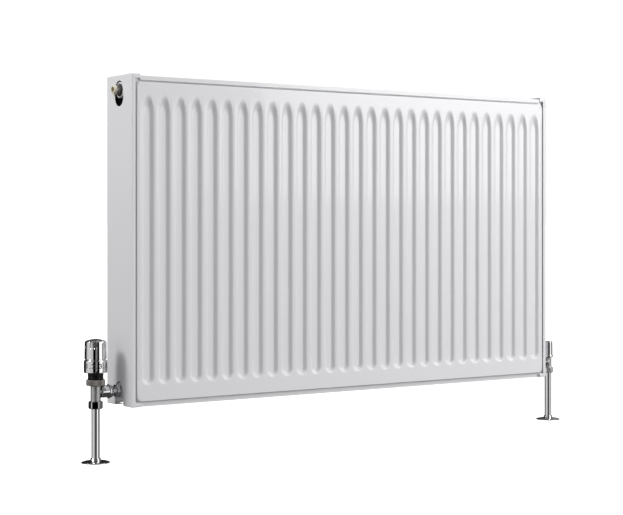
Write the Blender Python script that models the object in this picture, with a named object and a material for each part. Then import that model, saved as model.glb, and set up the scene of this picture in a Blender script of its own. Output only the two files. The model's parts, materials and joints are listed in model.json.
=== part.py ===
"""Panel convector radiator with a thermostatic valve, a lockshield valve, an air vent, pipes and wall brackets.

Metres, +Z up. X runs along the radiator, the front faces -Y, and the wall is the plane y = 0.
The origin is on the wall, at floor level, half way along the radiator.
"""

import math

import bmesh
import bpy
from mathutils import Matrix, Vector

# ---------------------------------------------------------------- driving dimensions
LENGTH = 1.000
HEIGHT = 0.600
DEPTH = 0.098
FLOOR_GAP = 0.100          # radiator's underside above the floor
WALL_GAP = 0.032           # radiator's back above the wall
GAP = 0.0003               # clearance between pieces that touch

SHEET = 0.0012             # panel steel
PRESS_DEPTH = 0.0055       # how far the pressed faces stand off the weld seam
PRESS_SLOPE = 0.0022
SIDE_SEAM = 0.009          # from the radiator's end to the pressed face
SEAM_TUCK = 0.0025         # from the radiator's end to the sheet's edge
TOP_SEAM = 0.0125
BOTTOM_SEAM = 0.008

CHANNEL_PITCH = 1 / 30
FLUTES = 29
FLUTE_WIDTH = 0.021
FLUTE_SIDE = 0.0043
FLUTE_END_SLOPE = 0.009
FLUTE_TOP = 0.042          # plain band above the flutes
FLUTE_BOTTOM = 0.039

FIN_STEEL = 0.0005
FIN_DEPTH = 0.032
FIN_FLAT = 0.011
FIN_MARGIN = 0.050         # convector stops this far from the top and the underside

COVER = 0.0010             # side cover and grille steel
COVER_LIP = 0.008
COVER_RETURN = 0.018
HOLE_WIDTH = 0.033
TOP_HOLE = (0.010, 0.057)  # oblong hole, from the top
BOTTOM_SLOT = 0.0435       # slot, up from the underside

GRILLE_DROP = 0.0034       # grille's top below the side covers' top
GRILLE_SET_BACK = 0.0015
GRILLE_LIP = 0.0078
GRILLE_ROWS = 2
GRILLE_BAR = 0.0125
GRILLE_EDGE = 0.010

TAPPING_INSET = 0.027      # tapping axis from the top and from the underside
TAPPING_FACE = 0.0015      # tapping face inside the side cover's outer face
TAPPING_R = 0.010
BOSS_R = 0.0145
TEE_R = 0.0115
TEE_INSET = 0.026

PIPE_R = 0.0075
PIPE_BORE = 0.0068
TRV_REACH = 0.047          # valve axis outside the radiator's end
LOCKSHIELD_REACH = 0.051

BRACKET_X = 0.350
BRACKET_WIDTH = 0.025
BRACKET_STEEL = 0.003

FINE = 24                  # sides of the larger round pieces
MEDIUM = 18
COARSE = 12                # also the hexagons, whose corners need a multiple of 12

# ---------------------------------------------------------------- derived places
LEFT, RIGHT = -1, 1
END = LENGTH / 2
Z_BOTTOM = FLOOR_GAP
Z_TOP = FLOOR_GAP + HEIGHT
Y_BACK = -WALL_GAP
Y_FRONT = Y_BACK - DEPTH
Y_MID = (Y_BACK + Y_FRONT) / 2
PANEL = 2 * PRESS_DEPTH + 2 * SHEET + GAP
Z_TAP_TOP = Z_TOP - TAPPING_INSET
Z_TAP_BOTTOM = Z_BOTTOM + TAPPING_INSET
MM = 0.001

for old in list(bpy.data.objects):
    bpy.data.objects.remove(old)


# ---------------------------------------------------------------- materials
def material(name, colour, roughness, metallic=0.0):
    made = bpy.data.materials.new(name)
    made.use_nodes = True
    shader = made.node_tree.nodes["Principled BSDF"]
    shader.inputs["Base Color"].default_value = (*colour, 1)
    shader.inputs["Roughness"].default_value = roughness
    shader.inputs["Metallic"].default_value = metallic
    return made


WHITE = material("white_enamel", (0.86, 0.86, 0.87), 0.28)
ZINC = material("galvanised_steel", (0.55, 0.56, 0.57), 0.45, 1.0)
CHROME = material("polished_chrome", (0.72, 0.72, 0.73), 0.08, 1.0)
NICKEL = material("satin_nickel", (0.38, 0.36, 0.34), 0.35, 1.0)
BRASS = material("brass", (0.72, 0.55, 0.25), 0.30, 1.0)
STEEL = material("stainless_steel", (0.60, 0.60, 0.61), 0.25, 1.0)
BLACK = material("black_plastic", (0.02, 0.02, 0.022), 0.40)
IVORY = material("ivory_plastic", (0.82, 0.78, 0.66), 0.40)
RUBBER = material("black_rubber", (0.03, 0.03, 0.03), 0.70)


# ---------------------------------------------------------------- mesh helpers
def add_object(name, mesh, look, smooth=True):
    made = bpy.data.objects.new(name, mesh)
    bpy.context.collection.objects.link(made)
    mesh.materials.append(look)
    if smooth:
        mesh.shade_smooth()
        mesh.set_sharp_from_angle(angle=math.radians(32))
    return made


def mesh_from(bm, name):
    bmesh.ops.recalc_face_normals(bm, faces=bm.faces)
    mesh = bpy.data.meshes.new(name)
    bm.to_mesh(mesh)
    bm.free()
    return mesh


def box_bm(low, high):
    bm = bmesh.new()
    size = Vector(high) - Vector(low)
    middle = (Vector(high) + Vector(low)) / 2
    bmesh.ops.create_cube(bm, size=1, matrix=Matrix.Translation(middle) @ Matrix.Diagonal((*size, 1)))
    return bm


def box(name, low, high, look):
    return add_object(name, mesh_from(box_bm(low, high), name), look, smooth=False)


def cutter(bm, name):
    made = add_object(name, mesh_from(bm, name), STEEL, smooth=False)
    made.hide_render = True
    made.display_type = "WIRE"
    return made


def box_cutter(name, low, high):
    return cutter(box_bm(low, high), name)


def boolean(target, tool, operation="DIFFERENCE"):
    change = target.modifiers.new(tool.name, "BOOLEAN")
    change.object = tool
    change.operation = operation
    change.solver = "EXACT"


def ring_radius(radius, angle):
    """A number is a round radius; a pair (across_flats, corner_radius) is a hexagon with turned corners."""
    if isinstance(radius, tuple):
        across, corner = radius
        from_flat = (angle + math.pi / 6) % (math.pi / 3) - math.pi / 6
        return min(across / 2 / math.cos(from_flat), corner)
    return radius


def turned_bm(profile, segments):
    """Turns a closed profile of (radius, height) points about Z. Radius 0 closes on the axis."""
    bm = bmesh.new()
    rings = []
    for radius, height in profile:
        if radius == 0:
            rings.append([bm.verts.new((0, 0, height))])
            continue
        ring = []
        for i in range(segments):
            angle = 2 * math.pi * i / segments
            r = ring_radius(radius, angle)
            ring.append(bm.verts.new((r * math.cos(angle), r * math.sin(angle), height)))
        rings.append(ring)
    closed = profile[0][0] != 0
    pairs = list(zip(rings, rings[1:]))
    if closed:
        pairs.append((rings[-1], rings[0]))
    for low, high in pairs:
        for i in range(segments):
            j = (i + 1) % segments
            corners = [low[i % len(low)], low[j % len(low)], high[j % len(high)], high[i % len(high)]]
            unique = list(dict.fromkeys(corners))
            if len(unique) > 2:
                bm.faces.new(unique)
    return bm


def turned(name, profile, look, at=(0, 0, 0), along=(0, 0, 1), segments=MEDIUM):
    """A turned piece whose own origin and Z axis lie on its centre line."""
    made = add_object(name, mesh_from(turned_bm(profile, segments), name), look)
    made.location = at
    made.rotation_mode = "QUATERNION"
    made.rotation_quaternion = Vector((0, 0, 1)).rotation_difference(Vector(along))
    return made


def turned_cutter(name, profile, at, along=(0, 0, 1), segments=MEDIUM):
    made = turned(name, profile, STEEL, at, along, segments)
    made.hide_render = True
    made.display_type = "WIRE"
    return made


def rod(radius, low, high):
    return [(0, low), (radius, low), (radius, high), (0, high)]


def tube(outer, inner, low, high):
    return [(outer, low), (outer, high), (inner, high), (inner, low)]


def millimetres(points):
    """Profile in millimetres to metres, hexagon pairs included."""
    scaled = []
    for radius, height in points:
        if isinstance(radius, tuple):
            radius = (radius[0] * MM, radius[1] * MM)
        else:
            radius = radius * MM
        scaled.append((radius, height * MM))
    return scaled


def extruded(name, outline, place, depth, look):
    """Extrudes a 2D outline: place(u, v, w) gives the 3D point, with w at 0 and at depth."""
    bm = bmesh.new()
    near = [bm.verts.new(place(u, v, 0)) for u, v in outline]
    far = [bm.verts.new(place(u, v, depth)) for u, v in outline]
    bm.faces.new(near)
    bm.faces.new(far)
    for i in range(len(outline)):
        j = (i + 1) % len(outline)
        bm.faces.new((near[i], near[j], far[j], far[i]))
    return add_object(name, mesh_from(bm, name), look, smooth=False)


# ---------------------------------------------------------------- pressed panel sheets
def flute_rects():
    """Opening and floor rectangles (x0, x1, z0, z1) of each flute."""
    z0, z1 = Z_BOTTOM + FLUTE_BOTTOM, Z_TOP - FLUTE_TOP
    rects = []
    for i in range(FLUTES):
        x = (i - (FLUTES - 1) / 2) * CHANNEL_PITCH
        half = FLUTE_WIDTH / 2
        opening = (x - half, x + half, z0, z1)
        floor = (x - half + FLUTE_SIDE, x + half - FLUTE_SIDE, z0 + FLUTE_END_SLOPE, z1 - FLUTE_END_SLOPE)
        rects.append((opening, floor))
    return rects


def corners(bm, rect, y):
    x0, x1, z0, z1 = rect
    return [bm.verts.new((x, y, z)) for x, z in ((x0, z0), (x1, z0), (x1, z1), (x0, z1))]


def frame_faces(bm, outer, inner):
    for i in range(4):
        j = (i + 1) % 4
        bm.faces.new((outer[i], outer[j], inner[j], inner[i]))


def fan_band(bm, start, end, row):
    """Fills between one long edge (start, end) and a row of points facing it."""
    middle = len(row) // 2
    for a, b in zip(row[:middle], row[1:middle + 1]):
        bm.faces.new((start, a, b))
    bm.faces.new((start, row[middle], end))
    for a, b in zip(row[middle:], row[middle + 1:]):
        bm.faces.new((end, a, b))


def sheet_skin(bm, y_face, y_seam):
    """One skin of a pressed sheet: seam border, sloped step, fluted face. Returns the border's corners."""
    edge = END - SEAM_TUCK
    z_low, z_high = Z_BOTTOM + COVER + GAP, Z_TOP - GRILLE_DROP - COVER - GAP
    border = corners(bm, (-edge, edge, z_low, z_high), y_seam)
    x, z0, z1 = END - SIDE_SEAM, Z_BOTTOM + BOTTOM_SEAM, Z_TOP - TOP_SEAM
    foot = corners(bm, (-x, x, z0, z1), y_seam)
    s = PRESS_SLOPE
    face = corners(bm, (-x + s, x - s, z0 + s, z1 - s), y_face)
    frame_faces(bm, border, foot)
    frame_faces(bm, foot, face)
    low_row, high_row = [], []
    last = (face[0], face[3])
    for opening, floor in flute_rects():
        outer = corners(bm, opening, y_face)
        inner = corners(bm, floor, y_seam)
        frame_faces(bm, outer, inner)
        bm.faces.new(inner)
        if low_row:
            bm.faces.new((last[0], outer[0], outer[3], last[1]))
        low_row += [outer[0], outer[1]]
        high_row += [outer[3], outer[2]]
        last = (outer[1], outer[2])
    bm.faces.new((face[0], low_row[0], high_row[0], face[3]))
    bm.faces.new((face[1], low_row[-1], high_row[-1], face[2]))
    fan_band(bm, face[0], face[1], low_row)
    fan_band(bm, face[3], face[2], high_row)
    return border


def pressed_sheet(name, y_face, inward):
    """A fluted sheet whose crests lie at y_face, pressed towards inward (+1 or -1 along Y)."""
    bm = bmesh.new()
    outside = sheet_skin(bm, y_face, y_face + inward * PRESS_DEPTH)
    y_inside = y_face + inward * SHEET
    inside = sheet_skin(bm, y_inside, y_inside + inward * PRESS_DEPTH)
    frame_faces(bm, outside, inside)
    return add_object(name, mesh_from(bm, name), WHITE, smooth=False)


def build_panels():
    pressed_sheet("front_panel_outer_sheet", Y_FRONT, 1)
    pressed_sheet("front_panel_inner_sheet", Y_FRONT + PANEL, -1)
    pressed_sheet("rear_panel_inner_sheet", Y_BACK - PANEL, 1)
    pressed_sheet("rear_panel_outer_sheet", Y_BACK, -1)


# ---------------------------------------------------------------- convector fins
def fin_path():
    """(x, standoff) corners of the folded strip: feet on the water channels, crests between them."""
    half = FIN_FLAT / 2
    path = []
    feet = FLUTES - 1
    for i in range(feet):
        x = (i - (feet - 1) / 2) * CHANNEL_PITCH
        path += [(x - half, 0), (x + half, 0)]
        if i < feet - 1:
            crest = x + CHANNEL_PITCH / 2
            path += [(crest - half, FIN_DEPTH - FIN_STEEL), (crest + half, FIN_DEPTH - FIN_STEEL)]
    return path


def build_convector(name, y_foot, away):
    """A folded sheet standing on an inner sheet's channels; away is +1 or -1 along Y."""
    z0, z1 = Z_BOTTOM + FIN_MARGIN, Z_TOP - FIN_MARGIN
    bm = bmesh.new()
    rows = []
    run, rise = CHANNEL_PITCH / 2 - FIN_FLAT, FIN_DEPTH - FIN_STEEL
    lean = FIN_STEEL * math.tan((math.pi / 2 - math.atan2(run, rise)) / 2)
    for i, (x, standoff) in enumerate(fin_path()):
        mitre = lean if i % 2 else -lean
        if standoff > 0:
            mitre = -mitre
        near = y_foot + away * standoff
        far = near + away * FIN_STEEL
        shift = mitre if 0 < i < len(fin_path()) - 1 else 0
        rows.append([bm.verts.new(p) for p in ((x, near, z0), (x - shift, far, z0),
                                               (x - shift, far, z1), (x, near, z1))])
    for a, b in zip(rows, rows[1:]):
        frame_faces(bm, a, b)
    bm.faces.new(rows[0])
    bm.faces.new(rows[-1])
    return add_object(name, mesh_from(bm, name), WHITE, smooth=False)


def build_convectors():
    build_convector("front_convector", Y_FRONT + PANEL + GAP, 1)
    build_convector("rear_convector", Y_BACK - PANEL - GAP, -1)


# ---------------------------------------------------------------- tees between the panels
def build_tee(name, side, z):
    """Cross tube between the two panels with a tapped boss facing out of the radiator's end."""
    x_tube = side * (END - TEE_INSET)
    x_face = side * (END - TAPPING_FACE)
    y0, y1 = Y_FRONT + PANEL + GAP, Y_BACK - PANEL - GAP
    tee = turned(name, rod(TEE_R, 0, y1 - y0), WHITE, (x_tube, y0, z), (0, 1, 0))
    reach = abs(x_face - x_tube)
    boss = turned_cutter(name + "_boss", rod(BOSS_R, 0, reach), (x_tube, Y_MID, z), (side, 0, 0))
    bore = turned_cutter(name + "_bore", rod(TAPPING_R, -0.002, reach + MM), (x_tube, Y_MID, z), (side, 0, 0))
    boolean(tee, boss, "UNION")
    boolean(tee, bore)


def build_tees():
    for side, word in ((LEFT, "left"), (RIGHT, "right")):
        build_tee(f"tee_top_{word}", side, Z_TAP_TOP)
        build_tee(f"tee_bottom_{word}", side, Z_TAP_BOTTOM)


# ---------------------------------------------------------------- side covers and top grille
def span(a, b):
    return (a, b) if a < b else (b, a)


def side_box(side, x_out, x_in, y, z):
    """Low and high corners of a box measured inwards from a radiator end."""
    x = span(side * (END - x_out), side * (END - x_in))
    return (x[0], y[0], z[0]), (x[1], y[1], z[1])


def oblong_bm(x, z0, z1, open_end):
    """A slot across X with round ends; with open_end its lower end runs straight out."""
    r = HOLE_WIDTH / 2
    outline = []
    steps = 8
    for i in range(steps + 1):
        angle = math.pi * i / steps
        outline.append((Y_MID + r * math.cos(angle), z1 - r + r * math.sin(angle)))
    if open_end:
        outline += [(Y_MID - r, z0), (Y_MID + r, z0)]
    else:
        for i in range(steps + 1):
            angle = math.pi + math.pi * i / steps
            outline.append((Y_MID + r * math.cos(angle), z0 + r + r * math.sin(angle)))
    bm = bmesh.new()
    near = [bm.verts.new((x[0], y, z)) for y, z in outline]
    far = [bm.verts.new((x[1], y, z)) for y, z in outline]
    bm.faces.new(near)
    bm.faces.new(far)
    for i in range(len(outline)):
        j = (i + 1) % len(outline)
        bm.faces.new((near[i], near[j], far[j], far[i]))
    return bm


def build_side_cover(name, side):
    y, z = (Y_FRONT, Y_BACK), (Z_BOTTOM, Z_TOP)
    inner_y = (Y_FRONT + COVER, Y_BACK - COVER)
    inner_z = (Z_BOTTOM + COVER, Z_TOP - COVER)
    past = COVER_RETURN + 0.002
    cover = box(name, *side_box(side, 0, COVER_RETURN, y, z), WHITE)
    boolean(cover, box_cutter(name + "_hollow", *side_box(side, COVER, past, inner_y, inner_z)))
    lip_z = (Z_BOTTOM + COVER_LIP, Z_TOP - COVER_LIP)
    lip_y = (Y_FRONT - MM, Y_BACK + MM)
    boolean(cover, box_cutter(name + "_lips", *side_box(side, COVER_LIP, past, lip_y, lip_z)))
    x = span(side * (END - past), side * (END + MM))
    hole = oblong_bm(x, Z_TOP - TOP_HOLE[1], Z_TOP - TOP_HOLE[0], False)
    boolean(cover, cutter(hole, name + "_vent_hole"))
    slot = oblong_bm(x, Z_BOTTOM - MM, Z_BOTTOM + BOTTOM_SLOT, True)
    boolean(cover, cutter(slot, name + "_valve_slot"))


def grille_lines():
    """Alternating bar and slot edges along X and along Y."""
    reach = END - COVER_RETURN - GAP
    half_slot = (CHANNEL_PITCH - GRILLE_BAR) / 2
    xs = [-reach]
    for i in range(FLUTES):
        x = (i - (FLUTES - 1) / 2) * CHANNEL_PITCH
        xs += [x - half_slot, x + half_slot]
    xs.append(reach)
    y0, y1 = Y_FRONT + GRILLE_SET_BACK, Y_BACK - GRILLE_SET_BACK
    run = y1 - y0 - 2 * GRILLE_EDGE
    slot = (run - (GRILLE_ROWS - 1) * GRILLE_BAR) / GRILLE_ROWS
    ys = [y0]
    for row in range(GRILLE_ROWS):
        start = y0 + GRILLE_EDGE + row * (slot + GRILLE_BAR)
        ys += [start, start + slot]
    ys.append(y1)
    return xs, ys


def build_grille():
    """A slotted plate with a turned-down lip along the front and the back."""
    xs, ys = grille_lines()
    z_top = Z_TOP - GRILLE_DROP
    bm = bmesh.new()
    layers = [[[bm.verts.new((x, y, z)) for y in ys] for x in xs] for z in (z_top - COVER, z_top)]

    def ring(layer, i, j):
        return (layer[i][j], layer[i + 1][j], layer[i + 1][j + 1], layer[i][j + 1])

    for i in range(len(xs) - 1):
        for j in range(len(ys) - 1):
            low, high = ring(layers[0], i, j), ring(layers[1], i, j)
            if i % 2 and j % 2:
                frame_faces(bm, low, high)
            else:
                bm.faces.new(low)
                bm.faces.new(high)
    rim = [bm.edges.get((layers[1][i][j], layers[1][k][m])) for i, j, k, m in rim_edges(len(xs), len(ys))]
    low_rim = [bm.edges.get((layers[0][i][j], layers[0][k][m])) for i, j, k, m in rim_edges(len(xs), len(ys))]
    bmesh.ops.bridge_loops(bm, edges=rim + low_rim)
    grille = add_object("top_grille", mesh_from(bm, "top_grille"), WHITE, smooth=False)
    reach = xs[-1]
    for word, y in (("front", ys[0]), ("back", ys[-1] - COVER)):
        lip = box_cutter(f"grille_{word}_lip", (-reach, y, z_top - GRILLE_LIP), (reach, y + COVER, z_top - COVER / 2))
        boolean(grille, lip, "UNION")


def rim_edges(nx, ny):
    """Index pairs of the edges round a grid's outside."""
    edges = []
    for i in range(nx - 1):
        edges += [(i, 0, i + 1, 0), (i, ny - 1, i + 1, ny - 1)]
    for j in range(ny - 1):
        edges += [(0, j, 0, j + 1), (nx - 1, j, nx - 1, j + 1)]
    return edges


def build_grille_clips():
    """Spring clips under the grille that press against the two inner sheets."""
    z_top = Z_TOP - GRILLE_DROP - COVER - GAP
    y0, y1 = Y_FRONT + PANEL + GAP, Y_BACK - PANEL - GAP
    steel = 0.0008
    leg = 0.016
    bulge = 0.002
    outline = [(y0 + bulge, z_top), (y1 - bulge, z_top), (y1, z_top - leg / 2), (y1 - bulge, z_top - leg),
               (y1 - bulge - steel, z_top - leg), (y1 - steel, z_top - leg / 2), (y1 - bulge - steel, z_top - steel),
               (y0 + bulge + steel, z_top - steel), (y0 + steel, z_top - leg / 2), (y0 + bulge + steel, z_top - leg),
               (y0 + bulge, z_top - leg), (y0, z_top - leg / 2)]
    width = 0.010
    for side, word in ((LEFT, "left"), (RIGHT, "right")):
        x = side * 8 * CHANNEL_PITCH + side * CHANNEL_PITCH / 2 - width / 2

        def place(y, z, w, x=x):
            return (x + w, y, z)

        extruded(f"grille_clip_{word}", outline, place, width, STEEL)


# ---------------------------------------------------------------- wall brackets and hanging lugs
LUG_WIDTH = 0.040
LUG_HEIGHT = 0.028
LUG_DEPTH = 0.0117
LUG_LEVELS = {"upper": Z_TOP - 0.100, "lower": Z_BOTTOM + 0.050}
TONGUE = 0.024
INSERT_WALL = 0.0015


def build_lug(name, x, z):
    """Pressed steel pocket on the panel's back, open below."""
    y0, y1 = Y_BACK + GAP, Y_BACK + LUG_DEPTH
    half = LUG_WIDTH / 2
    wall = 0.0012
    lug = box(name, (x - half, y0, z), (x + half, y1, z + LUG_HEIGHT), WHITE)
    hollow = box_cutter(name + "_hollow", (x - half + wall, y0 + wall, z - MM),
                        (x + half - wall, y1 - wall, z + LUG_HEIGHT - wall))
    boolean(lug, hollow)


def tongue_depths():
    """Y of the bracket tongue's two faces, in the middle of a lug's pocket."""
    middle = Y_BACK + (GAP + LUG_DEPTH) / 2
    return middle - BRACKET_STEEL / 2, middle + BRACKET_STEEL / 2


def build_insert(name, x, z):
    """Plastic cap on a bracket tongue, which keeps the lug from rattling."""
    y0, y1 = tongue_depths()
    half = BRACKET_WIDTH / 2 + GAP
    wall = INSERT_WALL
    top = z + LUG_HEIGHT - 0.0012 - GAP
    cap = box(name, (x - half - wall, y0 - GAP - wall, z + 0.002), (x + half + wall, y1 + GAP + wall, top), IVORY)
    hollow = box_cutter(name + "_hollow", (x - half, y0 - GAP, z), (x + half, y1 + GAP, z + TONGUE + GAP))
    boolean(cap, hollow)


def build_bracket(name, x):
    """Wall strip with an upper and a lower arm, each ending in an upright tongue."""
    y0, y1 = tongue_depths()
    t = BRACKET_STEEL
    outline = [(0, Z_BOTTOM + 0.030), (0, Z_TOP - 0.060), (-t, Z_TOP - 0.060)]
    for z in (LUG_LEVELS["upper"], LUG_LEVELS["lower"]):
        arm = z - 0.004
        outline += [(-t, arm), (y1, arm), (y1, z + TONGUE), (y0, z + TONGUE), (y0, arm - t), (-t, arm - t)]
    outline.append((-t, Z_BOTTOM + 0.030))
    start = x - BRACKET_WIDTH / 2

    def place(y, z, w):
        return (start + w, y, z)

    extruded(name, outline, place, BRACKET_WIDTH, ZINC)


def build_hanging():
    for side, word in ((LEFT, "left"), (RIGHT, "right")):
        x = side * BRACKET_X
        build_bracket(f"wall_bracket_{word}", x)
        for level, z in LUG_LEVELS.items():
            build_lug(f"hanging_lug_{level}_{word}", x, z)
            build_insert(f"bracket_insert_{level}_{word}", x, z)


# ---------------------------------------------------------------- air vent and blanking plug
def end_place(side, z):
    """Centre of a tapping's face, and the way out of it."""
    return (side * (END - TAPPING_FACE), Y_MID, z), (side, 0, 0)


PLUG_HEX = (18, 10.1)
PLUG_BODY = [(9.7, -11), (9.7, 1.5), (11.4, 1.5), (10.9, 2.2), (PLUG_HEX, 2.3), (PLUG_HEX, 7.6), (8.6, 8.2)]
SEAL = [(11.8, 0.3), (11.8, 1.2), (10.1, 1.2), (10.1, 0.3)]


def build_vent():
    at, out = end_place(LEFT, Z_TAP_TOP)
    turned("vent_plug_seal", millimetres(SEAL), RUBBER, at, out, COARSE)
    plug = [(3.3, -11)] + PLUG_BODY + [(5.2, 8.2), (5.2, 11.4), (3.3, 11.4)]
    turned("vent_plug", millimetres(plug), NICKEL, at, out, COARSE)
    nozzle = [(7.9, 8.5), (8.5, 9.1), (8.5, 14.1), (7.9, 14.7), (5.6, 14.7), (5.6, 8.5)]
    vent = turned("vent_nozzle", millimetres(nozzle), IVORY, at, out, MEDIUM)
    x = at[0] + out[0] * 11.6 * MM
    spout = turned_cutter("vent_spout", millimetres(tube(2.2, 1.0, 7.8, 12.0)), (x, Y_MID, Z_TAP_TOP), (0, 0, -1), COARSE)
    boolean(vent, spout, "UNION")
    screw = [(0, 4), (2.9, 4), (2.9, 11.6), (4.6, 11.7), (4.6, 12.4), (2.6, 12.4), (2.6, 13.0), (0, 13.0)]
    turned("vent_bleed_screw", millimetres(screw), BRASS, at, out, COARSE)


def build_blanking_plug():
    at, out = end_place(RIGHT, Z_TAP_TOP)
    turned("blanking_plug_seal", millimetres(SEAL), RUBBER, at, out, COARSE)
    plug = [(0, 2), (6, 2), (6, -11)] + PLUG_BODY + [(0, 8.2)]
    turned("blanking_plug", millimetres(plug), NICKEL, at, out, COARSE)


# ---------------------------------------------------------------- parts both valves share
BRANCH_R = 7.0
NUT_BORE = 8.9


def build_compression(prefix, x, z, hexagon, height):
    """Nut and olive that hold the pipe in a valve's lower socket. z is the nut's underside."""
    across = hexagon[0] / 2
    nut = [(across - 0.6, 0), (hexagon, 1.4), (hexagon, height - 1.2), (across - 0.4, height),
           (NUT_BORE, height), (NUT_BORE, 2.2), (7.9, 1.4), (7.9, 0)]
    turned(f"{prefix}_compression_nut", millimetres(nut), CHROME, (x, Y_MID, z), segments=COARSE)
    olive = [(7.9, 1.9), (8.5, 2.7), (7.9, 3.5)]
    turned(f"{prefix}_olive", millimetres(olive), BRASS, (x, Y_MID, z), segments=COARSE)


def build_union(prefix, x, toward, reach):
    """Union nut and tail between a valve's branch and the radiator's tapping, along toward from the axis."""
    at = (x, Y_MID, Z_TAP_BOTTOM)
    out = (toward, 0, 0)
    flats = (21, 11.6)
    nut = [(10.0, 9.3), (flats, 10.4), (flats, 24.0), (12.8, 24.5), (12.8, 26.6), (12.0, 27.2),
           (6.6, 27.2), (6.6, 24.9), (7.5, 24.9), (7.5, 9.3)]
    turned(f"{prefix}_union_nut", millimetres(nut), CHROME, at, out, COARSE)
    face = (reach + TAPPING_FACE) / MM
    end = face - GAP / MM
    hex_flats = (22, 12.5)
    tail = [(7.1, 22.5), (7.1, 24.6), (6.2, 24.6), (6.2, 27.6), (11.9, 28.4), (7.6, 35.5), (7.6, end - 10),
            (10.6, end - 9.5), (hex_flats, end - 8.5), (hex_flats, end - 1.5), (11.4, end), (9.7, end),
            (9.7, face + 11), (4.8, face + 11), (4.8, 22.5)]
    turned(f"{prefix}_tail", millimetres(tail), CHROME, at, out, COARSE)


def valve_body(name, x, outer, hollow, branch_bore):
    """Turned body with a side branch towards the radiator, hollowed by a stepped bore."""
    toward = 1 if x < 0 else -1
    body = turned(name, millimetres(outer), CHROME, (x, Y_MID, 0), segments=MEDIUM)
    centre = (x, Y_MID, Z_TAP_BOTTOM)
    branch = turned_cutter(name + "_branch", millimetres(rod(BRANCH_R, 0, 22.2)), centre, (toward, 0, 0))
    bore = turned_cutter(name + "_bore", millimetres(hollow), (x, Y_MID, 0))
    way = turned_cutter(name + "_way", millimetres(rod(branch_bore, 1, 23)), centre, (toward, 0, 0), COARSE)
    boolean(body, branch, "UNION")
    boolean(body, bore)
    boolean(body, way)


def build_pipe(word, x, top):
    turned(f"{word}_pipe", tube(PIPE_R, PIPE_BORE, 0, top), CHROME, (x, Y_MID, 0), segments=MEDIUM)
    plate = [(26, 0), (26, 0.8), (23, 2.4), (11.5, 3.6), (9.4, 4.4), (9.4, 7.6), (8.9, 8.2), (7.8, 8.2),
             (7.8, 2.0), (24.5, 0.6), (24.8, 0)]
    turned(f"{word}_floor_plate", millimetres(plate), CHROME, (x, Y_MID, 0), segments=MEDIUM)


# ---------------------------------------------------------------- thermostatic valve, left
X_TRV = -END - TRV_REACH
TRV_PIPE_TOP = 0.1117
POINTER_HEADING = math.radians(-116)


def spring_mesh(radius, wire, z0, z1, turns):
    """A round wire wound into a helix."""
    bm = bmesh.new()
    per_turn, sides = 10, 4
    count = int(per_turn * turns)
    rings = []
    for i in range(count + 1):
        angle = 2 * math.pi * i / per_turn
        z = z0 + (z1 - z0) * i / count
        centre = Vector((radius * math.cos(angle), radius * math.sin(angle), z))
        outward = Vector((math.cos(angle), math.sin(angle), 0))
        ring = []
        for k in range(sides):
            turn = 2 * math.pi * k / sides
            offset = outward * math.cos(turn) + Vector((0, 0, 1)) * math.sin(turn)
            ring.append(bm.verts.new(centre + offset * wire / 2))
        rings.append(ring)
    for a, b in zip(rings, rings[1:]):
        for k in range(sides):
            m = (k + 1) % sides
            bm.faces.new((a[k], a[m], b[m], b[k]))
    bm.faces.new(rings[0])
    bm.faces.new(rings[-1])
    return mesh_from(bm, "valve_spring")


def build_trv_body():
    outer = [(0, 100.8), (8.5, 100.8), (8.5, 139.2), (14.0, 140.6), (14.0, 146.6), (0, 146.6)]
    hollow = [(0, 100), (7.8, 100), (7.8, 112.0), (6.0, 112.0), (6.0, 118), (3.8, 118.4), (3.8, 120.2),
              (6.0, 120.4), (6.0, 148), (0, 148)]
    valve_body("trv_body", X_TRV, outer, hollow, 4.8)
    build_compression("trv", X_TRV, 97 * MM, (22.5, 12.6), 13.7)
    build_union("trv", X_TRV, 1, TRV_REACH)


def build_trv_insides(at):
    insert = [(5.7, 133.4), (5.7, 146.4), (4.4, 146.4), (4.4, 152.0), (1.6, 152.0), (1.6, 133.4)]
    turned("trv_insert", millimetres(insert), BRASS, at, segments=COARSE)
    disc = [(1.5, 121.4), (5.2, 121.4), (5.2, 123.6), (1.5, 123.6)]
    turned("trv_disc", millimetres(disc), RUBBER, at, segments=COARSE)
    pin = [(0, 121.6), (1.1, 121.6), (1.1, 123.9), (4.6, 123.9), (4.6, 124.7), (1.2, 124.7), (1.2, 154.4), (0, 154.4)]
    turned("trv_pin", millimetres(pin), STEEL, at, segments=COARSE)
    spring = add_object("trv_spring", spring_mesh(0.0033, 0.0007, 0.1255, 0.1326, 3), STEEL)
    spring.location = at
    sensor = [(0, 154.7), (3.0, 154.7), (3.0, 157.0), (10.0, 159.0), (10.0, 200.0), (0, 200.0)]
    turned("trv_sensor", millimetres(sensor), BRASS, at, segments=COARSE)


def pointer_arm(at):
    """Small radial arm under the knob with an upright triangular mark in front of its rim."""
    bm = bmesh.new()
    arm_low, arm_high, tip = 0.1590, 0.1612, 0.1672
    near, face, far = 0.0125, 0.0216, 0.0222
    half = 0.0032
    outline = [(near, arm_low), (far, arm_low), (far, arm_high), (face, arm_high), (near, arm_high)]
    left = [bm.verts.new((r, -half, z)) for r, z in outline]
    right = [bm.verts.new((r, half, z)) for r, z in outline]
    tips = [bm.verts.new((face, 0, tip)), bm.verts.new((far, 0, tip))]
    bm.faces.new(left)
    bm.faces.new(right)
    for i in (0, 1, 3, 4):
        j = (i + 1) % 5
        bm.faces.new((left[i], left[j], right[j], right[i]))
    bm.faces.new((left[3], right[3], tips[0]))
    bm.faces.new((left[2], right[2], tips[1]))
    bm.faces.new((left[2], left[3], tips[0], tips[1]))
    bm.faces.new((right[2], right[3], tips[0], tips[1]))
    arm = cutter(bm, "trv_pointer_arm")
    arm.location = at
    arm.rotation_euler = (0, 0, POINTER_HEADING)
    return arm


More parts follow.
